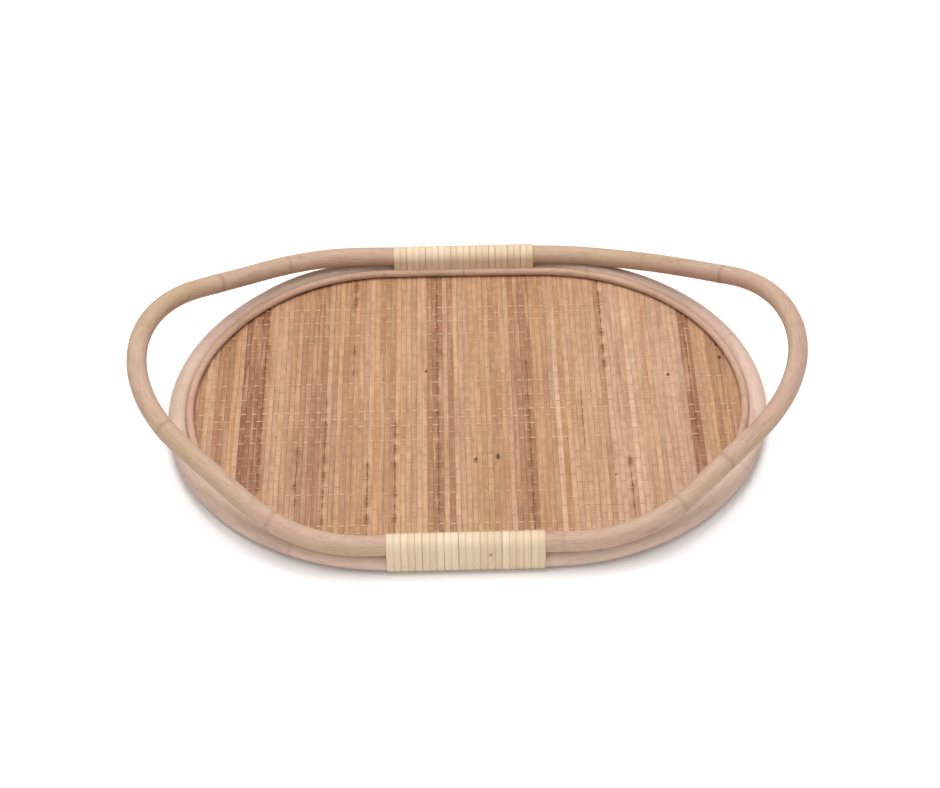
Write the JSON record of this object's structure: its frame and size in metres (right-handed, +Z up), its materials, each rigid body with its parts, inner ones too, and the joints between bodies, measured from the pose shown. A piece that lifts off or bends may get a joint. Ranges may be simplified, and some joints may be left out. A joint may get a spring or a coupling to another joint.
{
  "type": "serving tray",
  "caption": "Oval rattan serving tray with a woven splint mat in a bent cane rim and a second cane hoop lashed on top that rises at both ends as handles.",
  "frame": {"origin": "under the middle of the base, on the surface that the tray stands on", "axes": "+X from the left handle to the right handle, +Y to the rear, +Z up"},
  "size_m": [0.552, 0.3732, 0.0839],
  "materials": {
    "cane": "sanded rattan pole, matte",
    "bead": "thin round rattan core, matte",
    "plywood": "bare plywood, matte",
    "splint": "natural rattan splints in mixed browns, satin skin",
    "weft": "thin light strands, matte",
    "peel": "pale rattan peel, satin",
    "steel": "bright drawn wire"
  },
  "bodies": {
    "root": {"rim_hoop": "cane", "handle_hoop": "cane", "base_board": "plywood", "mat_splints": "splint", "mat_wefts": "weft", "mat_bead_left": "bead", "mat_bead_right": "bead", "front_lashing": "peel", "rear_lashing": "peel", "lashing_tacks": "steel", "hoop_nails": "steel", "rim_brads": "steel", "bead_brads": "steel", "scarf_pins": "steel"}
  },
  "joints": []
}
